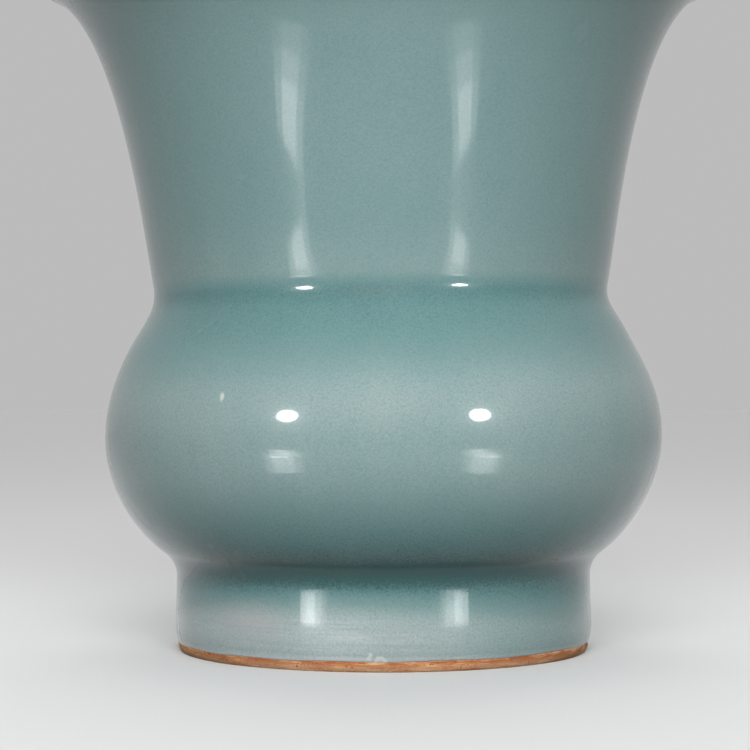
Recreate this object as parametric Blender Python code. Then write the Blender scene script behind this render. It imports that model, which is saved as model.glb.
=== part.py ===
"""Celadon leys jar: thrown stoneware sections, luted with slip and coated with glaze.

Metres, +Z up. The origin is the centre of the foot's rest face, and every piece is turned about Z.
Outlines are lists of (radius, height) points, worked out from the driving dimensions below.
"""

import math

import bmesh
import bpy
from mathutils import Vector

# Outside of the glazed jar
JAR_HEIGHT = 0.1255  # rest face to the top of the lip
MOUTH_RADIUS = 0.0630  # to the outermost point of the lip
WAIST_RADIUS = 0.04226  # where the lines of neck and shoulder would cross
WAIST_HEIGHT = 0.06545
BELLY_RADIUS = 0.0521
BELLY_HEIGHT = 0.0402
FOOT_RADIUS = 0.0388
FOOT_HEIGHT = 0.0170  # where the lines of foot and underside would cross
FOOT_SWELL = 0.0002  # how far the glaze rolls out low on the foot
SWELL_HEIGHT = 0.0053
WAIST_FILLET = 0.0040
FOOT_FILLET = 0.0055

# Slopes of the outside, measured from straight up
LIP_LEAN = math.radians(71.0)
NECK_LEAN = math.radians(9.0)
SHOULDER_LEAN = math.radians(32.5)
UNDERSIDE_LEAN = math.radians(53.4)
GLAZE_EDGE_LEAN = math.radians(22.0)

# How far each curve runs on before it turns, as a share of the distance that it covers
NECK_RUN = 0.25
LIP_RUN = 0.70
SHOULDER_RUN = 0.23
SHOULDER_TO_BELLY_RUN = 0.42
BELLY_TO_UNDERSIDE_RUN = 0.345
UNDERSIDE_RUN = 0.32
FOOT_RUN = 0.35
BOWL_SIDE_RUN = 0.75
BOWL_FLOOR_RUN = 0.75

# Stoneware
LIP_CLAY = 0.0016
WAIST_CLAY = 0.0032
BELLY_CLAY = 0.0036
FLOOR_CLAY = 0.0050
FOOT_CLAY = 0.0038  # wall of the foot ring, inside its glaze
BARE_RIM_HEIGHT = 0.0018  # unglazed clay above the rest face
BARE_RIM_SETBACK = 0.0004  # from the foot's radius in to the top of the bare rim
BARE_RIM_BEVEL = 0.0006
WELL_BEVEL = 0.0008  # inner edge of the rest face

# Slip in the luted joints
SLIP = 0.0006
FOOT_JOINT_DROP = 0.0015  # from the foot's crease down to the middle of its joint

# Glaze
OUTER_GLAZE = 0.0006
LIP_GLAZE = 0.0004
INNER_GLAZE = 0.0005
BASE_GLAZE = 0.0005
GLAZE_EDGE = 0.0003  # where the glaze thins out above the bare rim
POOL_GLAZE = 0.0004  # extra glaze that runs into the creases
POOL_SPREAD = 0.0035
WELL_BARE_HEIGHT = 0.0030  # unglazed clay inside the foot well

COAT_GAP = 0.0003  # clearance between neighbouring pieces

# Facets of the turned solids and of each curve of the outside
SEGMENTS = 40
LIP_STEPS = 3
NECK_STEPS = 7
FILLET_STEPS = 3
SHOULDER_STEPS = 4
UNDERSIDE_STEPS = 5
FOOT_STEPS = 2
BOWL_STEPS = 8

MERGE_DISTANCE = 1e-6
SMOOTH_ANGLE = math.radians(40.0)

DOWN = Vector((0.0, -1.0))
TO_AXIS = Vector((-1.0, 0.0))


# Curves in the (radius, height) plane


def leaning(angle):
    """Unit vector that leans outwards from straight up."""
    return Vector((math.sin(angle), math.cos(angle)))


def leaning_down(angle):
    """Unit vector that leans outwards from straight down."""
    return Vector((math.sin(angle), -math.cos(angle)))


def into_wall(tangent):
    """Normal on the right-hand side of a line: the clay's side where the line runs down the outside."""
    return Vector((tangent.y, -tangent.x)).normalized()


def curve(start, start_way, start_run, end, end_way, end_run, steps):
    """Stations (point, normal) along a cubic curve that leaves and arrives the given ways."""
    second = start + start_way * start_run
    third = end - end_way * end_run
    stations = []
    for step in range(steps + 1):
        t = step / steps
        s = 1.0 - t
        point = start * s**3 + second * 3 * s * s * t + third * 3 * s * t * t + end * t**3
        tangent = (second - start) * s * s + (third - second) * 2 * s * t + (end - third) * t * t
        stations.append((point, into_wall(tangent)))
    return stations


def fillet(corner, way_in, way_out, radius, steps):
    """Stations along the arc that rounds a corner, between a line that arrives and one that leaves."""
    turn = way_in.angle_signed(way_out)
    reach = radius * math.tan(abs(turn) / 2)
    start = corner - way_in * reach
    side = into_wall(way_in) * math.copysign(1.0, turn)
    centre = start + side * radius
    stations = []
    for step in range(steps + 1):
        angle = turn * step / steps
        tangent = turned_by(way_in, angle)
        outwards = -into_wall(tangent) * math.copysign(1.0, turn)
        stations.append((centre + outwards * radius, into_wall(tangent)))
    return stations


def turned_by(vector, angle):
    """The vector turned clockwise by an angle, the sense of Vector.angle_signed."""
    c, s = math.cos(angle), math.sin(angle)
    return Vector((c * vector.x + s * vector.y, c * vector.y - s * vector.x))


def layer(stations, depth):
    """Points at a depth under each station. The depth is a number or a function of the height."""
    depth_at = depth if callable(depth) else lambda height: depth
    return [point + normal * depth_at(point.y) for point, normal in stations]


def cut(points, level, keep_above):
    """The stretch of a falling line above or below a level, with its end on the level."""
    kept = []
    for first, second in zip(points, points[1:]):
        crosses = (first.y - level) * (second.y - level) < 0
        if (first.y > level) == keep_above:
            kept.append(first)
        if crosses:
            kept.append(first.lerp(second, (first.y - level) / (first.y - second.y)))
    if (points[-1].y > level) == keep_above:
        kept.append(points[-1])
    return kept


# Outside of the jar, from the lip down to the edge of the glaze

LIP_THICKNESS = LIP_CLAY + 2 * (LIP_GLAZE + COAT_GAP)
LIP_CENTRE = Vector((MOUTH_RADIUS - LIP_THICKNESS / 2, JAR_HEIGHT - LIP_THICKNESS / 2))
LIP_WAY = leaning(LIP_LEAN)
LIP_START = LIP_CENTRE - into_wall(-LIP_WAY) * LIP_THICKNESS / 2
BELLY = Vector((BELLY_RADIUS, BELLY_HEIGHT))
SWELL = Vector((FOOT_RADIUS + FOOT_SWELL, SWELL_HEIGHT))
BARE_RIM_TOP = Vector((FOOT_RADIUS - BARE_RIM_SETBACK, BARE_RIM_HEIGHT))


def distance(first, second):
    return (second - first).length


def neck_and_shoulder():
    """Stations from the lip to the widest point of the belly."""
    waist = fillet(
        Vector((WAIST_RADIUS, WAIST_HEIGHT)),
        -leaning(NECK_LEAN),
        leaning_down(SHOULDER_LEAN),
        WAIST_FILLET,
        FILLET_STEPS,
    )
    top, bottom = waist[0][0], waist[-1][0]
    neck = curve(
        LIP_START,
        -LIP_WAY,
        LIP_RUN * abs(LIP_START.x - top.x),
        top,
        -leaning(NECK_LEAN),
        NECK_RUN * distance(LIP_START, top),
        NECK_STEPS,
    )
    shoulder = curve(
        bottom,
        leaning_down(SHOULDER_LEAN),
        SHOULDER_RUN * distance(bottom, BELLY),
        BELLY,
        DOWN,
        SHOULDER_TO_BELLY_RUN * distance(bottom, BELLY),
        SHOULDER_STEPS,
    )
    return neck[:-1] + waist[:-1] + shoulder


def underside_and_foot():
    """Stations from the widest point of the belly to the edge of the glaze on the foot."""
    under_way = -leaning(UNDERSIDE_LEAN)
    crease = fillet(Vector((FOOT_RADIUS, FOOT_HEIGHT)), under_way, DOWN, FOOT_FILLET, FILLET_STEPS)
    top, bottom = crease[0][0], crease[-1][0]
    underside = curve(
        BELLY,
        DOWN,
        BELLY_TO_UNDERSIDE_RUN * distance(BELLY, top),
        top,
        under_way,
        UNDERSIDE_RUN * distance(BELLY, top),
        UNDERSIDE_STEPS,
    )
    wall = curve(
        bottom,
        DOWN,
        FOOT_RUN * distance(bottom, SWELL),
        SWELL,
        DOWN,
        FOOT_RUN * distance(bottom, SWELL),
        FOOT_STEPS,
    )
    roll = curve(
        SWELL,
        DOWN,
        FOOT_RUN * distance(SWELL, BARE_RIM_TOP),
        BARE_RIM_TOP,
        -leaning(GLAZE_EDGE_LEAN),
        FOOT_RUN * distance(SWELL, BARE_RIM_TOP),
        FOOT_STEPS,
    )
    return underside[:-1] + crease[:-1] + wall[:-1] + roll


UPPER = neck_and_shoulder()
LOWER = underside_and_foot()
OUTSIDE = UPPER[:-1] + LOWER


# Thickness of each layer of the wall, by height


def share(height, low, high):
    """How far a height has come from low to high, from 0 to 1."""
    return min(1.0, max(0.0, (height - low) / (high - low)))


def mixed(first, second, amount):
    return first + (second - first) * amount


def pooled(height):
    """Extra glaze in the creases above the belly and above the foot."""
    bumps = (math.exp(-(((height - crease) / POOL_SPREAD) ** 2)) for crease in (WAIST_HEIGHT, FOOT_HEIGHT))
    return POOL_GLAZE * sum(bumps)


def outer_glaze_depth(height):
    coat = mixed(OUTER_GLAZE, LIP_GLAZE, share(height, WAIST_HEIGHT, LIP_START.y))
    thinned = mixed(GLAZE_EDGE, coat, share(height, BARE_RIM_HEIGHT, SWELL_HEIGHT))
    return thinned + pooled(height)


def clay_face_depth(height):
    return outer_glaze_depth(height) + COAT_GAP


def clay_back_depth(height):
    neck = mixed(WAIST_CLAY, LIP_CLAY, share(height, WAIST_HEIGHT, LIP_START.y))
    belly = mixed(BELLY_CLAY, WAIST_CLAY, share(height, BELLY_HEIGHT, WAIST_HEIGHT))
    return clay_face_depth(height) + (neck if height > WAIST_HEIGHT else belly)


def inner_back_depth(height):
    return clay_back_depth(height) + COAT_GAP


def inner_face_depth(height):
    coat = mixed(INNER_GLAZE, LIP_GLAZE, share(height, WAIST_HEIGHT, LIP_START.y))
    return inner_back_depth(height) + coat


# Inside of the bowl and levels of the joints

HALF_JOINT = SLIP / 2 + COAT_GAP
FOOT_JOINT = FOOT_HEIGHT - FOOT_JOINT_DROP
FLOOR_UNDERSIDE = FOOT_JOINT + HALF_JOINT
FOOT_TOP = FOOT_JOINT - HALF_JOINT
BOWL_FLOOR = Vector((0.0, FLOOR_UNDERSIDE + FLOOR_CLAY))
BOWL_EDGE = Vector((BELLY_RADIUS - clay_back_depth(BELLY_HEIGHT), BELLY_HEIGHT))
BOWL = curve(
    BOWL_EDGE,
    DOWN,
    BOWL_SIDE_RUN * (BOWL_EDGE.y - BOWL_FLOOR.y),
    BOWL_FLOOR,
    TO_AXIS,
    BOWL_FLOOR_RUN * BOWL_EDGE.x,
    BOWL_STEPS,
)


def lip_arc(radius, from_angle, to_angle, trim=0.0):
    """Points round the lip: -90 degrees is its outer side and 90 its inner side. Trim stops short of 0."""
    ease = math.asin(trim / radius)
    ends = [math.radians(angle) for angle in (from_angle, to_angle)]
    ends = [angle if angle else math.copysign(ease, sum(ends)) for angle in ends]
    across = into_wall(-LIP_WAY)
    points = []
    for step in range(LIP_STEPS + 1):
        angle = mixed(ends[0], ends[1], step / LIP_STEPS)
        points.append(LIP_CENTRE + (LIP_WAY * math.cos(angle) + across * math.sin(angle)) * radius)
    return points


# Solids


def clear_scene():
    for obj in list(bpy.data.objects):
        bpy.data.objects.remove(obj, do_unlink=True)


def finish(name, colour, roughness):
    """A material with the piece's colour, in linear red, green and blue."""
    material = bpy.data.materials.new(name)
    material.use_nodes = True
    shader = material.node_tree.nodes["Principled BSDF"]
    shader.inputs["Base Color"].default_value = (*colour, 1.0)
    shader.inputs["Roughness"].default_value = roughness
    shader.inputs["Metallic"].default_value = 0.0
    return material


def turned(name, outline, material, parent):
    """A solid of revolution. An outline that starts and ends on the axis stays open there."""
    mesh = bpy.data.meshes.new(name)
    build = bmesh.new()
    verts = [build.verts.new((point.x, 0.0, point.y)) for point in outline]
    on_axis = outline[0].x < MERGE_DISTANCE and outline[-1].x < MERGE_DISTANCE
    followers = verts[1:] if on_axis else verts[1:] + verts[:1]
    edges = [build.edges.new(pair) for pair in zip(verts, followers)]
    bmesh.ops.spin(
        build,
        geom=verts + edges,
        cent=(0.0, 0.0, 0.0),
        axis=(0.0, 0.0, 1.0),
        angle=math.tau,
        steps=SEGMENTS,
        use_merge=True,
    )
    bmesh.ops.remove_doubles(build, verts=build.verts, dist=MERGE_DISTANCE)
    bmesh.ops.recalc_face_normals(build, faces=build.faces)
    build.to_mesh(mesh)
    build.free()
    mesh.shade_smooth()
    mesh.set_sharp_from_angle(angle=SMOOTH_ANGLE)
    mesh.materials.append(material)
    piece = bpy.data.objects.new(name, mesh)
    piece.parent = parent
    bpy.context.collection.objects.link(piece)
    return piece


def closed_by(first_side, second_side):
    """An outline that runs along one side and back along the other."""
    return first_side + second_side[::-1]


def mouth_section():
    """Trumpet neck and lip, thrown as one ring with its lower rim cut level at the waist."""
    level = WAIST_HEIGHT + HALF_JOINT
    face = cut(layer(UPPER, clay_face_depth), level, keep_above=True)
    back = cut(layer(UPPER, clay_back_depth), level, keep_above=True)
    lip = lip_arc(LIP_CLAY / 2, -90, 90)
    return closed_by(face, lip[1:-1] + back)


def neck_slip_seam():
    """Ring of slip between the mouth section and the belly section."""
    sides = []
    for depth in (clay_face_depth, clay_back_depth):
        side = cut(layer(UPPER, depth), WAIST_HEIGHT + SLIP / 2, keep_above=False)
        sides.append(cut(side, WAIST_HEIGHT - SLIP / 2, keep_above=True))
    return closed_by(*sides)


def belly_section():
    """Thrown bowl with its shoulder and floor, cut level at the waist and flat underneath."""
    level = WAIST_HEIGHT - HALF_JOINT
    face = cut(layer(OUTSIDE, clay_face_depth), level, keep_above=False)
    face = cut(face, FLOOR_UNDERSIDE, keep_above=True)
    back = cut(layer(UPPER, clay_back_depth), level, keep_above=False)
    bowl = layer(BOWL, 0.0)
    return closed_by(face + [Vector((0.0, FLOOR_UNDERSIDE))], back[:-1] + bowl)[::-1]


def foot_wall_radius(level):
    """Radius of the foot ring's clay under its glaze, at a level of the joint."""
    return cut(layer(LOWER, clay_face_depth), level, keep_above=True)[-1].x


WELL_RADIUS = foot_wall_radius(FOOT_TOP) - FOOT_CLAY


def foot_slip_seam():
    """Ring of slip between the floor of the belly section and the foot ring."""
    face = cut(layer(LOWER, clay_face_depth), FOOT_JOINT + SLIP / 2, keep_above=False)
    face = cut(face, FOOT_JOINT - SLIP / 2, keep_above=True)
    back = [Vector((WELL_RADIUS, FOOT_JOINT + side * SLIP / 2)) for side in (1, -1)]
    return closed_by(face, back)


def foot_ring():
    """Thrown ring with a bare, bevelled rim that the jar stands on."""
    face = cut(layer(LOWER, clay_face_depth), FOOT_TOP, keep_above=False)
    ledge = BARE_RIM_HEIGHT - COAT_GAP
    face = cut(face, ledge, keep_above=True)
    rim = [
        Vector((face[-1].x, ledge)),
        Vector((BARE_RIM_TOP.x, ledge)),
        Vector((BARE_RIM_TOP.x - BARE_RIM_BEVEL, 0.0)),
    ]
    well = [
        Vector((WELL_RADIUS, FOOT_TOP)),
        Vector((WELL_RADIUS, WELL_BEVEL)),
        Vector((WELL_RADIUS + WELL_BEVEL, 0.0)),
    ]
    return closed_by(face + rim, well)


def outer_glaze():
    """Glaze over the outside, from the crest of the lip to the bare rim of the foot."""
    half = LIP_THICKNESS / 2
    lip_face = lip_arc(half, 0, -90, COAT_GAP / 2)
    lip_back = lip_arc(half - LIP_GLAZE, 0, -90, COAT_GAP / 2)
    face = lip_face[:-1] + layer(OUTSIDE, 0.0)
    back = lip_back[:-1] + layer(OUTSIDE, outer_glaze_depth)
    return closed_by(face, back)


def inner_glaze():
    """Glaze over the inside, from the crest of the lip to the middle of the floor."""
    half = LIP_THICKNESS / 2
    lip_face = lip_arc(half, 0, 90, COAT_GAP / 2)
    lip_back = lip_arc(half - LIP_GLAZE, 0, 90, COAT_GAP / 2)
    face = lip_face[:-1] + layer(UPPER, inner_face_depth)[:-1] + layer(BOWL, COAT_GAP + INNER_GLAZE)
    back = lip_back[:-1] + layer(UPPER, inner_back_depth)[:-1] + layer(BOWL, COAT_GAP)
    return closed_by(face[::-1], back[::-1])


def base_glaze():
    """Glaze in the foot well: over the underside of the floor and down the inside of the ring."""
    top = FLOOR_UNDERSIDE - COAT_GAP
    wall = WELL_RADIUS - COAT_GAP
    back = [Vector((0.0, top)), Vector((wall, top)), Vector((wall, WELL_BARE_HEIGHT))]
    inner = wall - BASE_GLAZE
    low = top - BASE_GLAZE
    face = [Vector((0.0, low)), Vector((inner, low)), Vector((inner, WELL_BARE_HEIGHT))]
    return closed_by(back, face)


def build_jar():
    clear_scene()
    stoneware = finish("stoneware", (0.42, 0.40, 0.37), 0.85)
    kiln_red = finish("kiln_red_stoneware", (0.46, 0.21, 0.09), 0.80)
    slip = finish("slip", (0.36, 0.34, 0.31), 0.90)
    celadon = finish("celadon_glaze", (0.26, 0.38, 0.37), 0.18)
    jar = bpy.data.objects.new("leys_jar", None)
    bpy.context.collection.objects.link(jar)
    turned("mouth_section", mouth_section(), stoneware, jar)
    turned("neck_slip_seam", neck_slip_seam(), slip, jar)
    turned("belly_section", belly_section(), stoneware, jar)
    turned("foot_slip_seam", foot_slip_seam(), slip, jar)
    turned("foot_ring", foot_ring(), kiln_red, jar)
    turned("outer_glaze", outer_glaze(), celadon, jar)
    turned("inner_glaze", inner_glaze(), celadon, jar)
    turned("base_glaze", base_glaze(), celadon, jar)


build_jar()
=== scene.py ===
"""Celadon leys jar: thrown stoneware, luted with slip, under a pooled grey-blue glaze.

Metres, +Z up, with the origin in the middle of the foot's rest face. An outline is a list of
(radius, height) points, and one that runs down the outside of the jar faces outwards.
"""

import math

import bpy
import numpy as np
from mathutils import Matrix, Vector


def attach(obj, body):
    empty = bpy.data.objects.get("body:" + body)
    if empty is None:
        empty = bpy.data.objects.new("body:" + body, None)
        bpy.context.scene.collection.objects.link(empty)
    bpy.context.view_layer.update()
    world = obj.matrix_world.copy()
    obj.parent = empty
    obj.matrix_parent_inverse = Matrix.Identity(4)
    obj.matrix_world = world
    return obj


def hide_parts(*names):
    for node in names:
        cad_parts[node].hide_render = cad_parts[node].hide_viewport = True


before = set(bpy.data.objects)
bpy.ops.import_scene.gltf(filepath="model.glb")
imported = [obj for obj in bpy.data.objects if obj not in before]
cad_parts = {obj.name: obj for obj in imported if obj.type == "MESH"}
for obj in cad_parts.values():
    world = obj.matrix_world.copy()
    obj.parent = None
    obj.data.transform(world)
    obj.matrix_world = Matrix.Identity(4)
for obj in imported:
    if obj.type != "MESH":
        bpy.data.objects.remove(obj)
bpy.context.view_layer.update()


# Mouth section.
# The trumpet neck and its lip: a ring of grey stoneware, thrown apart from the bowl and cut level
# at the waist, where slip lutes it on. Glaze hides all of it, so only its warp can be seen.

AROUND = 192  # facets round the jar
JAR_HEIGHT = 0.1255
MOUTH_RADIUS = 0.0630
LIP_THICKNESS = 0.0024
LIP_LEAN = math.radians(71.0)
LIP_RUN = 0.70  # how far the curve runs on before it turns, as a share of what it covers
LIP_COAT = 0.0007  # from the glaze's face in to the clay
NECK_LEAN = math.radians(9.0)
NECK_RUN = 0.25
WAIST = (0.04226, 0.06545)
WAIST_FILLET = 0.0070
WAIST_WALL = 0.0053
WAIST_COAT = 0.0012
WAIST_INNER_COAT = 0.0008
SHOULDER_LEAN = math.radians(32.5)

NECK_SHIFT = -0.00045  # the neck was set to the left of the belly's axis
NECK_SLANT = -0.014  # and leans that way
RIM_TILT = 0.0055  # slopes of the mouth and of the crease, up to the right
CREASE_TILT = 0.0105
CREASE_FALL = 0.015  # slope of the crease, up to the front
BELLY_DROP = 0.00038  # how much lower the belly sits at its left than at its right
BELLY_REACH = 0.048  # sideways, to where that drop is measured
SHOULDER_DRAW = 0.00050  # how far the shoulder is drawn in at its right
SHOULDER_HEIGHT = 0.0585
OUT_OF_ROUND = 0.00010
GLAZE_LINE_WAVE = 0.00014


class Wire:
    """A value in a material's nodes. Arithmetic on it adds Math nodes."""

    def __init__(self, socket):
        self.socket = socket

    def node(self, kind, settings=None, inputs=None, output=0):
        """A node in the same tree: its type, its settings and its sockets' values or links."""
        made = self.socket.id_data.nodes.new(kind)
        for name, value in (settings or {}).items():
            if name == "stops":
                set_stops(made.color_ramp, value)
            else:
                setattr(made, name, value)
        for name, value in (inputs or {}).items():
            if isinstance(value, Wire):
                self.socket.id_data.links.new(value.socket, made.inputs[name])
            else:
                made.inputs[name].default_value = value
        return Wire(made.outputs[output])

    def math(self, operation, *others):
        inputs = dict(enumerate((self, *others)))
        return self.node("ShaderNodeMath", {"operation": operation}, inputs)

    def __add__(self, other):
        return self.math("ADD", other)

    def __sub__(self, other):
        return self.math("SUBTRACT", other)

    def __rsub__(self, other):
        return self.node("ShaderNodeMath", {"operation": "SUBTRACT"}, {0: other, 1: self})

    def __mul__(self, other):
        return self.math("MULTIPLY", other)

    __radd__ = __add__
    __rmul__ = __mul__

    def ramp(self, low, high):
        """How far the value has come from low to high, eased and held between 0 and 1."""
        inputs = {"Value": self, "From Min": low, "From Max": high}
        return self.node("ShaderNodeMapRange", {"interpolation_type": "SMOOTHSTEP"}, inputs)

    def stretched(self, x, y, z):
        """Coordinates with each axis multiplied, so a texture has cells of 1/x, 1/y and 1/z."""
        inputs = {0: self, 1: (x, y, z)}
        return self.node("ShaderNodeVectorMath", {"operation": "MULTIPLY"}, inputs)

    def noise(self, detail=2.0, roughness=0.5):
        """Noise over these coordinates, about 0 and mostly within half a unit either way."""
        inputs = {"Vector": self, "Scale": 1.0, "Detail": detail, "Roughness": roughness}
        return self.node("ShaderNodeTexNoise", None, inputs) - 0.5

    def mixed(self, first, second):
        """A colour that runs from the first to the second as this value goes from 0 to 1."""
        settings = {"data_type": "RGBA"}
        return self.node("ShaderNodeMix", settings, {0: self, 6: first, 7: second}, output=2)


def set_stops(ramp, stops):
    """Fills a colour ramp, with the steps between its stops smoothed."""
    ramp.interpolation = "B_SPLINE"
    while len(ramp.elements) < len(stops):
        ramp.elements.new(1.0)
    for element, (position, colour) in zip(ramp.elements, stops):
        element.position = position
        element.color = colour


def paint(red, green, blue):
    """A colour written as it looks on a screen, from 0 to 255, as the shader's linear values."""
    values = [channel / 255 for channel in (red, green, blue)]
    linear = [v / 12.92 if v <= 0.04045 else ((v + 0.055) / 1.055) ** 2.4 for v in values]
    return (*linear, 1.0)


def finish(name, constants=None):
    """A new material: its Principled shader, with constants set, and the object's coordinates."""
    material = bpy.data.materials.new(name)
    material.use_nodes = True
    shader = material.node_tree.nodes["Principled BSDF"]
    for socket, value in (constants or {}).items():
        shader.inputs[socket].default_value = value
    place = material.node_tree.nodes.new("ShaderNodeTexCoord")
    return material, shader, Wire(place.outputs["Object"])


def feed(shader, **wires):
    """Links what varies over a surface to the shader's sockets, such as base_color."""
    for name, wire in wires.items():
        socket = shader.inputs[name.replace("_", " ").title()]
        shader.id_data.links.new(wire.socket, socket)


def bumped(height):
    """The normal of a surface raised by a height in millimetres."""
    inputs = {"Height": height, "Distance": 0.001, "Strength": 1.0}
    return height.node("ShaderNodeBump", None, inputs)


def curve(start, start_way, start_run, end, end_way, end_run, steps):
    """Points along a cubic that leaves and arrives the given ways, each way run for a length."""
    start, end = np.array(start), np.array(end)
    second = start + np.array(start_way) * start_run
    third = end - np.array(end_way) * end_run
    t = np.linspace(0.0, 1.0, steps + 1)[:, None]
    s = 1.0 - t
    return start * s**3 + second * 3 * s * s * t + third * 3 * s * t * t + end * t**3


def away(lean):
    """The way up a wall that leans out by an angle."""
    return np.array((math.sin(lean), math.cos(lean)))


def rounded(corner, way_in, way_out, radius, steps):
    """The arc that rounds a corner between the way in and the way out, as a short cubic."""
    turn = math.acos(float(np.clip(np.dot(way_in, way_out), -1, 1)))
    reach = radius * math.tan(turn / 2)
    pull = radius * 4 / 3 * math.tan(turn / 4)
    start, end = np.array(corner) - way_in * reach, np.array(corner) + way_out * reach
    return curve(start, way_in, pull, end, way_out, pull, steps)


def gap(first, second):
    return float(np.hypot(*(np.array(second) - np.array(first))))


def sunk(outline, first, last):
    """The outline moved into the wall by a depth that runs from first to last."""
    way = np.gradient(outline, axis=0)
    side = np.stack([way[:, 1], -way[:, 0]], axis=-1) / np.hypot(way[:, 0], way[:, 1])[:, None]
    return outline + side * np.linspace(first, last, len(outline))[:, None]


def eased(value, low, high):
    """How far the value has come from low to high, eased and held between 0 and 1."""
    share = np.clip((value - low) / (high - low), 0.0, 1.0)
    return share * share * (3 - 2 * share)


def band(value, middle, width):
    """1 at the middle, falling smoothly to 0 within about two widths on either side."""
    return np.exp(-(((value - middle) / width) ** 2))


def sway(angle, count, seed):
    """A slow wave round the jar, within about 1 either way, from a few turns of unlike size."""
    turns = np.arange(1, count + 1)
    offsets = seed + 1.7 * turns * turns
    waves = np.sin(np.multiply.outer(angle, turns) + offsets) / np.sqrt(turns)
    return waves.sum(axis=-1) / np.sqrt(np.sum(1.0 / turns))


def fired(radius, height, angle):
    """The warp that the jar took on the wheel and in the kiln, with the glaze line left wavy."""
    x, y = radius * np.sin(angle), -radius * np.cos(angle)
    above = np.maximum(height - WAIST[1], 0.0)
    up_neck = above / (JAR_HEIGHT - WAIST[1])
    at_crease = eased(height, 0.055, 0.066) * (1 - up_neck)
    in_belly = eased(height, 0.0125, 0.0165) * eased(height, 0.0655, 0.0600)
    tilt = (at_crease * CREASE_TILT + up_neck * RIM_TILT) * x - at_crease * CREASE_FALL * y
    tilt -= BELLY_DROP * in_belly * (1 - x / BELLY_REACH) / 2
    edge = GLAZE_LINE_WAVE * sway(angle, 18, 5.0) * eased(height, 0.0045, 0.0015)
    lean = eased(height, 0.060, 0.067) * NECK_SHIFT + above * NECK_SLANT
    drawn = SHOULDER_DRAW * (1 + np.sin(angle)) / 2 * band(height, SHOULDER_HEIGHT, 0.0075)
    twist = 40 * np.minimum(height, WAIST[1])
    wobble = OUT_OF_ROUND * sway(angle + twist, 4, 1.0) * eased(height, 0.012, 0.03)
    return radius + lean * np.sin(angle) + wobble - drawn, height + tilt + edge


def rings_of(outline):
    """The radius, height and angle of each point of the mesh that an outline turns into."""
    angle = np.linspace(0.0, math.tau, AROUND, endpoint=False)
    return np.broadcast_arrays(outline[:, 0, None], outline[:, 1, None], angle[None, :])


def thrown(name, outline, shape, closed=False):
    """A mesh turned from an outline. Shape moves its points: it takes radius, height and angle."""
    radius, height, angle = rings_of(outline)
    radius, height = shape(radius, height, angle)
    points = np.stack([radius * np.sin(angle), -radius * np.cos(angle), height], axis=-1)
    rings = len(outline)
    strips = np.arange(rings if closed else rings - 1)
    row, column = np.meshgrid(strips, np.arange(AROUND), indexing="ij")
    below, beside = (row + 1) % rings, (column + 1) % AROUND
    corners = ((row, column), (below, column), (below, beside), (row, beside))
    faces = np.stack([ring * AROUND + step for ring, step in corners], axis=-1)
    mesh = bpy.data.meshes.new(name)
    mesh.from_pydata(points.reshape(-1, 3).tolist(), [], faces.reshape(-1, 4).tolist())
    mesh.validate()
    mesh.shade_smooth()
    piece = bpy.data.objects.new(name, mesh)
    bpy.context.collection.objects.link(piece)
    return piece


def settle(piece, material, slot, *nodes):
    """Finishes a piece: its material, its body and the solids that it stands for. Its slot is not
    used.
    """
    piece.data.materials.append(material)
    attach(piece, "root")
    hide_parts(*nodes)


stoneware, shader, spot = finish("stoneware")
grit = spot.stretched(1400, 1400, 1400).noise()
throwing = spot.stretched(30, 30, 420).noise()
pale = grit * 0.7 + throwing * 0.5 + 0.5
feed(
    shader,
    base_color=pale.mixed(paint(150, 146, 138), paint(196, 192, 183)),
    roughness=grit * 0.2 + 0.85,
    normal=bumped(grit * 0.08 + throwing * 0.15),
)

lip_centre = np.array((MOUTH_RADIUS - LIP_THICKNESS / 2, JAR_HEIGHT - LIP_THICKNESS / 2))
lip_way = away(LIP_LEAN)
lip_up = np.array((-lip_way[1], lip_way[0]))
lip_outer = lip_centre - lip_up * LIP_THICKNESS / 2
neck_way = -away(NECK_LEAN)
shoulder_way = np.array((math.sin(SHOULDER_LEAN), -math.cos(SHOULDER_LEAN)))
waist = rounded(WAIST, neck_way, shoulder_way, WAIST_FILLET, 24)
lip_run = LIP_RUN * (lip_outer[0] - waist[0][0])
neck_run = NECK_RUN * gap(lip_outer, waist[0])
neck = curve(lip_outer, -lip_way, lip_run, waist[0], neck_way, neck_run, 84)
clay_face = sunk(neck, LIP_COAT, WAIST_COAT)
clay_back = sunk(neck, LIP_THICKNESS - LIP_COAT, WAIST_WALL - WAIST_INNER_COAT)
clay_outline = np.vstack([clay_face, clay_back[::-1]])
mouth = thrown("mouth_section_clay", clay_outline, fired, closed=True)
settle(mouth, stoneware, "stoneware", "mouth_section")


# Belly section.
# The squat bowl with its shoulder and floor, thrown in one from the same grey stoneware.
# The neck is luted on its shoulder and the foot ring under its floor, and glaze covers the whole.


def dress(node, material):
    """Gives a carried-over solid its finish."""
    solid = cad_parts[node]
    solid.data.materials.clear()
    solid.data.materials.append(material)


dress("belly_section", stoneware)


# Slip seams.
# Thin rings of liquid clay that lute the neck to the belly and the foot ring under the floor.
# They are squeezed between the scored edges, wiped flush and fired into one with the clay.

slip, shader, spot = finish("luting_slip")
smear = spot.stretched(250, 250, 900).noise(detail=4.0)
feed(
    shader,
    base_color=(smear + 0.5).mixed(paint(132, 127, 118), paint(178, 173, 163)),
    roughness=smear * 0.15 + 0.88,
    normal=bumped(smear * 0.1),
)
for seam in ("neck_slip_seam", "foot_slip_seam"):
    dress(seam, slip)


# Foot ring.
# A turned stoneware ring that the jar stands on, luted under the bowl and wiped clean of glaze.
# The bare rim took the kiln's air and fired burnt orange, paler where it has worn on tables.

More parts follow.
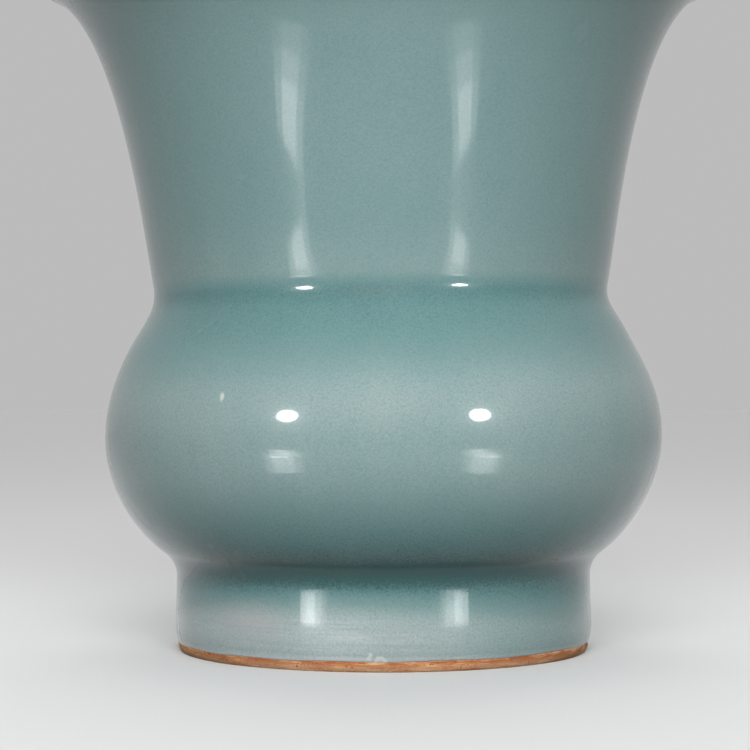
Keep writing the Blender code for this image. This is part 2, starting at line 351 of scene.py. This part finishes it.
FOOT_RADIUS = 0.0388
FOOT_TOP = 0.0149
BARE_RIM_HEIGHT = 0.0020
BARE_RIM_RADIUS = 0.0386
RIM_TUCK = 0.0001  # how far the rim's edge lies in and below the glaze's edge
CLAY_UNDER_GLAZE = 0.0378
GLAZE_LAP = 0.0012  # how far up the clay slopes back behind the glaze
REST_OUTER = 0.0378
REST_INNER = 0.0349
WELL_RADIUS = 0.03394
WELL_BEVEL_HEIGHT = 0.0016
TOOL_CHATTER = 0.00006


def joined(*stretches):
    """One outline from stretches that start where the one before ended."""
    return np.vstack([stretches[0], *(stretch[1:] for stretch in stretches[1:])])


def line(*corners, steps=6):
    """Straight stretches through the corners."""
    share = np.linspace(0.0, 1.0, steps + 1)[:, None]
    corners = [np.array(corner) for corner in corners]
    pairs = zip(corners, corners[1:])
    return joined(*(first * (1 - share) + last * share for first, last in pairs))


bare_clay, shader, spot = finish("kiln_red_stoneware", {"Specular IOR Level": 0.3})
streak = spot.stretched(210, 210, 1900).noise(detail=4.0, roughness=0.65)
patch = spot.stretched(130, 130, 420).noise(detail=4.0, roughness=0.6)
grit = spot.stretched(2600, 2600, 2600).noise(detail=1.0)
height = spot.node("ShaderNodeSeparateXYZ", None, {"Vector": spot}, output="Z")
worn_low = (height + streak * 0.0034 + patch * 0.0036 + grit * 0.0008).ramp(0.0015, 0.0001)
worn_high = (height + patch * 0.0016 + streak * 0.0012).ramp(0.0015, 0.0021)
worn = worn_low.math("MAXIMUM", worn_high * 0.75)
burnt = (streak * 3.6 + patch * 3.0 + 0.38).mixed(paint(184, 94, 42), paint(246, 192, 140))
fade = patch * 2.4 + streak * 2.6 + grit * 1.2 + 0.5
buff = fade.mixed(paint(200, 138, 92), paint(240, 206, 172))
scorched = (streak * 1.5 - patch * 1.1 + grit * 1.3).ramp(0.30, 0.46)
feed(
    shader,
    base_color=scorched.mixed(worn.mixed(burnt, buff), paint(132, 70, 38)),
    roughness=grit * 0.15 + 0.78,
    normal=bumped(streak * 0.10 + patch * 0.06 + grit * 0.07),
)

rim_edge = (BARE_RIM_RADIUS - RIM_TUCK, BARE_RIM_HEIGHT - RIM_TUCK)
under_glaze = (CLAY_UNDER_GLAZE, BARE_RIM_HEIGHT + GLAZE_LAP)
well_bevel = (WELL_RADIUS, WELL_BEVEL_HEIGHT)
foot_outline = joined(
    line((WELL_RADIUS, FOOT_TOP), (CLAY_UNDER_GLAZE, FOOT_TOP), under_glaze, rim_edge),
    curve(rim_edge, (0, -1), 0.0013, (REST_OUTER, 0), (-1, 0), 0.0002, 12),
    line((REST_OUTER, 0.0), (REST_INNER, 0.0)),
    curve((REST_INNER, 0.0), (-1, 0), 0.0004, well_bevel, (0, 1), 0.0008, 8),
    line(well_bevel, (WELL_RADIUS, FOOT_TOP), steps=12),
)[:-1]


def turned_foot(radius, height, angle):
    """Chatter of the turning tool, with the rest face left flat."""
    free = np.clip(height / 0.0006, 0.0, 1.0)
    return radius + free * TOOL_CHATTER * sway(angle, 24, 3.0), height


foot_clay = thrown("foot_ring_clay", foot_outline, turned_foot, closed=True)
settle(foot_clay, bare_clay, "kiln_red_stoneware", "foot_ring")


# Glaze coat.
# Lime-alkaline celadon over the outside, the lip and the inside, in one unbroken coat.
# It ran in the kiln: thin and grey at the lip and low on the foot, deep teal in both creases.
# Painted shade deepens both creases and the underside; painted light pales the belly's top and the
# glaze's lowest edge.

BELLY = (0.0521, 0.0402)
BELLY_WALL = 0.0053
SHOULDER_RUN = 0.23
SHOULDER_TO_BELLY_RUN = 0.42
BELLY_TO_UNDERSIDE_RUN = 0.345
UNDERSIDE_RUN = 0.32
UNDERSIDE_LEAN = math.radians(53.4)
FOOT_CREASE = (FOOT_RADIUS, 0.0170)
FOOT_FILLET = 0.0055
SWELL = (0.0390, 0.0053)  # where the glaze rolls out low on the foot
GLAZE_EDGE = (0.03862, BARE_RIM_HEIGHT)
GLAZE_EDGE_LEAN = math.radians(14.0)
BOWL_FLOOR = 0.0219
POLE = 0.00002  # radius of the small ring that closes a floor
NICK = (-0.0006, -0.0386, 0.0020)
NICK_SLIVERS = ((-0.0023, -0.0387, 0.0032), (-0.0026, -0.0387, 0.0025))
BLEMISH_AND_GLINT = (-0.0277, -0.0429, 0.0478)
BLUSH = (-0.0240, -0.0308, 0.0078)

down = np.array((0.0, -1.0))
under_way = -away(UNDERSIDE_LEAN)
edge_way = -away(GLAZE_EDGE_LEAN)
crease = rounded(FOOT_CREASE, under_way, down, FOOT_FILLET, 18)
span = gap(waist[-1], BELLY)
shoulder_runs = (SHOULDER_RUN * span, SHOULDER_TO_BELLY_RUN * span)
shoulder = curve(waist[-1], shoulder_way, shoulder_runs[0], BELLY, down, shoulder_runs[1], 40)
span = gap(BELLY, crease[0])
under_runs = (BELLY_TO_UNDERSIDE_RUN * span, UNDERSIDE_RUN * span)
underside = curve(BELLY, down, under_runs[0], crease[0], under_way, under_runs[1], 44)
foot_wall = curve(crease[-1], down, 0.0031, SWELL, down, 0.0031, 28)
foot_roll = curve(SWELL, down, 0.0012, GLAZE_EDGE, edge_way, 0.0010, 16)
tucked = (CLAY_UNDER_GLAZE, 0.0017)
edge_roll = curve(GLAZE_EDGE, edge_way, 0.0002, tucked, (-1, 0.4), 0.0003, 5)
outside = joined(neck, waist, shoulder, underside, crease, foot_wall, foot_roll, edge_roll)

lip_turns = np.linspace(-math.pi / 2, math.pi / 2, 25)[:, None]
lip_round = lip_way * np.cos(lip_turns) + lip_up * np.sin(lip_turns)
lip = lip_centre + lip_round * LIP_THICKNESS / 2
bowl_edge = (BELLY[0] - BELLY_WALL, BELLY[1])
inside = joined(
    sunk(neck, LIP_THICKNESS, WAIST_WALL),
    sunk(waist, WAIST_WALL, WAIST_WALL),
    sunk(shoulder, WAIST_WALL, BELLY_WALL),
    curve(bowl_edge, down, 0.0137, (POLE, BOWL_FLOOR), (-1, 0), 0.0345, 56),
)
coat_outline = joined(inside[::-1], lip[::-1], outside)
first_outside = len(inside) + len(lip) // 2


def pooled_and_shaded(radius, height, angle):
    """How deep the glaze lies, from 0 where it is thinnest to 1 in the foot's crease, with painted
    shade and light.
    """
    x = radius * np.sin(angle)
    runs = sway(angle, 9, 2.0)
    low_shoulder = 0.0560 + 0.06 * x + 0.0012 * runs
    on_shoulder = eased(height, low_shoulder - 0.008, low_shoulder + 0.006)
    low_foot = 0.0126 - 1.7 * x * x + 0.0006 * runs
    drawn_off = 0.57 - 0.15 * eased(x, 0.004, 0.030) + 0.07 * band(x, -0.007, 0.007)
    # Pooled glaze and painted shade, deep teal below the waist's crease.
    depth_and_shading = 0.44 + 0.26 * on_shoulder * eased(height, 0.0690, 0.0655)
    # Pooled glaze and painted shade in the waist's crease.
    depth_and_shading += 0.09 * band(height, WAIST[1] - 0.0002, 0.0022)  # in the waist's crease
    # Thinner glaze and painted light, paler high on the belly.
    depth_and_shading -= 0.08 * band(height, 0.0475 + 0.03 * x, 0.008)  # high on the belly
    depth_and_shading += 0.09 * eased(height, 0.067, 0.080)  # up the neck
    depth_and_shading -= 0.22 * eased(height, 0.119, 0.1252)  # at the lip
    # Painted shade down the underside, with the glaze deepening towards the foot.
    depth_and_shading += 0.36 * eased(height, 0.0345, 0.0198)  # down the underside
    # Pooled glaze and painted shade in the foot's crease.
    depth_and_shading += 0.22 * band(height, 0.0175, 0.0034)  # in the foot's crease
    depth_and_shading -= drawn_off * eased(height, low_foot + 0.0032, low_foot - 0.0044)
    # Painted light, paler along the bare rim where the glaze rolls under.
    depth_and_shading -= 0.12 * eased(height, 0.0030, 0.0020)  # along the bare rim
    inner = 0.42 + 0.45 * eased(height, 0.034, 0.022) - 0.18 * eased(height, 0.118, 0.1252)
    outer = np.arange(len(height))[:, None] >= first_outside
    return np.where(outer, depth_and_shading, inner)


gloss = {"Coat Roughness": 0.05, "Specular IOR Level": 0.2}
celadon, shader, spot = finish("celadon_glaze", gloss)
# The glaze's depth, with painted shade and painted light in it, from the coat's points.
depth_and_shading = spot.node("ShaderNodeAttribute", {"attribute_name": "glaze_depth"}, output="Fac")
cloud = spot.stretched(60, 60, 60).noise(detail=4.0, roughness=0.55)
runs = spot.stretched(170, 170, 26).noise(detail=2.0)
grain = spot.stretched(4000, 4000, 4000).noise(detail=1.0)
bubbles = spot.node("ShaderNodeTexVoronoi", None, {"Vector": spot, "Scale": 2600.0})
turning = spot.stretched(11, 11, 900).noise(detail=3.0)
brushed = spot.stretched(110, 110, 2600).noise(detail=2.0)
peel = spot.stretched(430, 430, 430).noise(detail=2.0)
flake = spot.stretched(1900, 1900, 1900).noise(detail=2.0)
height = spot.node("ShaderNodeSeparateXYZ", None, {"Vector": spot}, output="Z")
thin = depth_and_shading.ramp(0.36, 0.08)
wiped = thin * height.ramp(0.020, 0.014)
tone = depth_and_shading + cloud * 0.12 + runs * 0.05 + grain * 0.20 + bubbles * 0.14 - 0.07
tone = tone - wiped * (turning * 0.36 + brushed * 0.30)
stops = [
    (0.0, paint(210, 218, 219)),
    (0.10, paint(194, 206, 207)),
    (0.22, paint(172, 190, 190)),
    (0.42, paint(136, 165, 164)),
    (0.66, paint(112, 151, 151)),
    (0.86, paint(84, 128, 129)),
    (1.0, paint(50, 90, 92)),
]
tint = tone.node("ShaderNodeValToRGB", {"stops": stops}, {"Fac": tone})


def near(point, low, high, squash=(1.0, 1.0, 1.0)):
    """1 at a point, falling raggedly to 0 between two distances, each axis multiplied by squash."""
    middle = tuple(place * share for place, share in zip(point, squash))
    ends = {0: spot.stretched(*squash), 1: middle}
    distance = spot.node("ShaderNodeVectorMath", {"operation": "DISTANCE"}, ends, output="Value")
    return (distance + flake * (high * 0.5)).ramp(high, low)


def dots(scale, radius, rarity):
    """Round dots of one size, at random, in the share of cells of 1/scale that rarity leaves."""
    cells = {"Vector": spot, "Scale": scale}
    distance = spot.node("ShaderNodeTexVoronoi", None, cells, output="Distance")
    colour = spot.node("ShaderNodeTexVoronoi", None, cells, output="Color")
    chance = spot.node("ShaderNodeSeparateColor", None, {"Color": colour})
    return distance.ramp(radius, radius * 0.4) * chance.ramp(rarity, rarity + 0.02)


blush = wiped * (cloud * 1.6 + 0.25).ramp(0.1, 0.9) * 0.5
blush_spot = near(BLUSH, 0.001, 0.014, (1.0, 1.0, 2.6))
blush = blush + blush_spot * (runs + cloud + brushed + 0.5) * 0.8
tint = blush.math("MINIMUM", 0.8).mixed(tint, paint(194, 191, 190))
iron = dots(95.0, 0.045, 0.86)
tint = (iron * 0.55).mixed(tint, paint(66, 74, 66))
specks = dots(520.0, 0.10, 0.68) * height.ramp(0.0085, 0.0060) * height.ramp(0.0036, 0.0044)
nick_middle = near(NICK, 0.0002, 0.0009, (1.0, 1.0, 1.3))
nick = near(NICK, 0.0009, 0.0013, (1.0, 1.0, 1.1)) * (1 - nick_middle * 0.6)
slivers = near(NICK_SLIVERS[0], 0.0001, 0.0006) + near(NICK_SLIVERS[1], 0.0001, 0.0006)
# A small frosted flaw on the belly, its pale spot also a painted glint.
blemish_and_glint = near(BLEMISH_AND_GLINT, 0.0002, 0.0006, (1.0, 1.0, 0.5))
frosted_and_glint = (nick + slivers + specks * 0.7 + blemish_and_glint).math("MINIMUM", 1.0)
tint = (frosted_and_glint * 0.75).mixed(tint, paint(226, 230, 224))
feed(
    shader,
    base_color=tint,
    roughness=cloud * 0.08 - thin * 0.14 + frosted_and_glint * 0.35 + 0.26,
    normal=bumped(peel * 0.014 + turning * 0.012 + grain * 0.006 - iron * 0.03 - frosted_and_glint * 0.05),
    coat_weight=thin * 0.25 - frosted_and_glint * 0.3 + 0.7,
)


def coat(name, outline, shape, depths_and_shading, *nodes):
    """A piece of the glaze, with its depth and painted shading at each point, for the solids that
    it stands for.
    """
    piece = thrown(name, outline, shape)
    settle(piece, celadon, "celadon_glaze", *nodes)
    values = depths_and_shading(*rings_of(outline))
    made = piece.data.attributes.new("glaze_depth", "FLOAT", "POINT")
    made.data.foreach_set("value", values.astype(np.float32).ravel())


coat("celadon_coat", coat_outline, fired, pooled_and_shaded, "outer_glaze", "inner_glaze")


# Foot-well glaze.
# The same celadon under the floor and down the inside of the foot ring, where it isn't wiped.
# It was poured in and out, so it lies thick in the corner and stops in a wavy line on the ring.

WELL_TOP = 0.0153
WELL_CORNER = 0.0030
WELL_BARE_HEIGHT = 0.0030
WELL_COAT = 0.0005
POURED_WAVE = 0.0005

well_wall = WELL_RADIUS - WELL_COAT
well_start = (WELL_RADIUS + 0.0002, WELL_BARE_HEIGHT)
well_low = (well_wall, WELL_BARE_HEIGHT + 0.0004)
well_high = (well_wall, WELL_TOP - WELL_CORNER)
well_turn = (well_wall - WELL_CORNER, WELL_TOP)
well_outline = joined(
    curve(well_start, (-1, 0), 0.0003, well_low, (0, 1), 0.0003, 6),
    line(well_low, well_high, steps=16),
    curve(well_high, (0, 1), 0.0017, well_turn, (-1, 0), 0.0017, 10),
    line(well_turn, (POLE, WELL_TOP), steps=30),
)


def poured(radius, height, angle):
    """The wavy edge where the glaze stops on the ring."""
    return radius, height + POURED_WAVE * sway(angle, 12, 8.0) * eased(height, 0.007, 0.003)


def drained(radius, height, angle):
    """How deep the poured glaze lies: deepest in the corner, thin at its edge."""
    corner = eased(radius, 0.028, 0.0325) * eased(height, 0.008, 0.013)
    return 0.38 + 0.4 * corner - 0.25 * eased(height, 0.0060, 0.0030)


coat("foot_well_glaze", well_outline, poured, drained, "base_glaze")


# Studio.
# A pale floor and surround, with soft light from the front, above and behind.
# A lamp at each side, strips of light on the floor and small cards by the jar give its gleams.

FLOOR_SIDE = 6.0
FLOOR_PALE = 0.92
FLOOR_BOUNCE = 0.16
PALE = 0.50
AMBIENT = 0.08
JAR_MIDDLE = (0.0, 0.0, 0.06)
FILL_PLACE = (0.0, -0.57, 0.31)
FILL_SIDE = 0.42
FILL_RADIANCE = 9.35
FILL_HALF_CONE = math.radians(35.0)
LAMP_PLACES = {"left_lamp": (-0.352, -0.456, 0.202), "right_lamp": (0.353, -0.457, 0.196)}
LAMP_WIDTH = 0.086
LAMP_LENGTH = 0.075
LAMP_RADIANCE = 36.0
LAMP_HALF_CONE = math.radians(40.0)
LEFT_RUN = ((-0.113, -0.172), (-0.140, -0.205), (-0.170, -0.231), (-0.2196, -0.2712))
RIGHT_RUN = ((0.113, -0.179), (0.141, -0.215), (0.170, -0.246), (0.2163, -0.2940))
RIGHT_SHARE = 0.92  # of the left strips' radiance
STRIP_RADIANCES = (2.6, 5.6, 10.0)  # from the end by the jar outwards
STRIP_WIDTHS = ((0.032, 0.7), (0.062, 0.3))  # each with its share of the radiance
STRIP_HEIGHT = 0.002
CARD_TURN = math.radians(40.0)
CAMERA_PLACE = (-0.00158, -0.4524, 0.0517)
CAMERA_DOWN = math.radians(0.040)
CAMERA_LENS = 115.2

floor_mesh = bpy.data.meshes.new("floor")
half = FLOOR_SIDE / 2
floor_corners = [(-half, -half, 0), (half, -half, 0), (half, half, 0), (-half, half, 0)]
floor_mesh.from_pydata(floor_corners, [], [(0, 1, 2, 3)])
floor = bpy.data.objects.new("floor", floor_mesh)
bpy.context.collection.objects.link(floor)


def looked_at(tree):
    """1 for rays from the camera, from a gloss or through glass, which see the pale studio."""
    rays = tree.nodes.new("ShaderNodeLightPath").outputs
    seen = Wire(rays["Is Camera Ray"]).math("MAXIMUM", Wire(rays["Is Glossy Ray"]))
    return seen.math("MAXIMUM", Wire(rays["Is Transmission Ray"]))


def grey(level):
    return (level, level, level, 1.0)


floor_finish, shader, _ = finish("pale_floor", {"Roughness": 0.9, "Specular IOR Level": 0.0})
seen = looked_at(floor_finish.node_tree)
feed(shader, base_color=seen.mixed(grey(FLOOR_BOUNCE), grey(FLOOR_PALE)))
floor_mesh.materials.append(floor_finish)

world = bpy.data.worlds.new("studio")
bpy.context.scene.world = world
world.use_nodes = True
surround = world.node_tree.nodes["Background"]
surround.inputs["Color"].default_value = grey(1.0)
brightness = looked_at(world.node_tree) * (PALE - AMBIENT) + AMBIENT
world.node_tree.links.new(brightness.socket, surround.inputs["Strength"])


def softbox(name, place, width, length, radiance, shape="ELLIPSE", half_cone=0.0):
    """A flat lamp of an even radiance, turned to the jar's middle, that may shine in a cone."""
    light = bpy.data.lights.new(name, "AREA")
    light.shape = shape
    light.size = width
    light.size_y = length
    light.energy = radiance * math.pi * width * length
    if half_cone:
        light.spread = 2 * half_cone
        light.energy *= 1 - half_cone / math.tan(half_cone)
    lamp = bpy.data.objects.new(name, light)
    lamp.location = place
    to_jar = Vector(JAR_MIDDLE) - Vector(place)
    lamp.rotation_euler = to_jar.to_track_quat("-Z", "Y").to_euler()
    lamp.visible_camera = False
    bpy.context.collection.objects.link(lamp)
    return lamp


def gleam(*settings, **more):
    """A softbox that only shows in the gloss."""
    lamp = softbox(*settings, **more)
    lamp.visible_diffuse = False
    return lamp


fill_settings = (FILL_PLACE, FILL_SIDE, FILL_SIDE, FILL_RADIANCE)
fill = softbox("front_fill", *fill_settings, half_cone=FILL_HALF_CONE)
fill.visible_glossy = False
for name, place in LAMP_PLACES.items():
    gleam(name, place, LAMP_WIDTH, LAMP_LENGTH, LAMP_RADIANCE, half_cone=LAMP_HALF_CONE)
for ends, level in ((LEFT_RUN, 1.0), (RIGHT_RUN, RIGHT_SHARE)):
    for near_end, far_end, radiance in zip(ends, ends[1:], STRIP_RADIANCES):
        run = Vector(far_end) - Vector(near_end)
        centre = (Vector(near_end) + Vector(far_end)) / 2
        place = (*centre, STRIP_HEIGHT)
        for width, share in STRIP_WIDTHS:
            strip = gleam("strip", place, width, run.length, radiance * level * share, "RECTANGLE")
            strip.rotation_euler = (math.pi, 0.0, math.atan2(run.x, -run.y))
for side in (-1, 1):
    foot_card_x = 0.1243 + side * 0.0023
    for x, y, z, width, length, radiance, tip in (
        (0.0605, -0.0983, 0.0210, 0.015, 0.013, 4.6, 0.0),
        (0.0605, -0.0983, 0.0090, 0.015, 0.011, 4.0, 0.0),
        (0.0605, -0.0983, 0.0155, 0.026, 0.024, 1.6, 0.0),
        (foot_card_x, -0.1600, 0.0031, 0.026, 0.011, 5.6, 60.0),
    ):
        card = gleam("card", (side * x, y, z), width, length, radiance, "RECTANGLE")
        card.rotation_euler = (math.radians(90.0 - tip), 0.0, side * CARD_TURN)

skies = (("overhead", 0.0, 0.78, 100.0), ("from_behind", -60.0, 1.35, 70.0))
for name, lean_back, strength, spread in skies:
    sky = bpy.data.objects.new(name, bpy.data.lights.new(name, "SUN"))
    sky.data.energy = strength
    sky.data.angle = math.radians(spread)
    sky.rotation_euler = (math.radians(lean_back), 0.0, 0.0)
    sky.visible_glossy = False
    bpy.context.collection.objects.link(sky)

camera = bpy.data.objects.new("camera", bpy.data.cameras.new("camera"))
camera.data.lens = CAMERA_LENS
camera.data.sensor_width = 36.0
camera.data.clip_start = 0.01
camera.location = CAMERA_PLACE
camera.rotation_euler = (math.pi / 2 - CAMERA_DOWN, 0.0, 0.0)
bpy.context.collection.objects.link(camera)
bpy.context.scene.camera = camera
bpy.context.scene.view_settings.view_transform = "Standard"
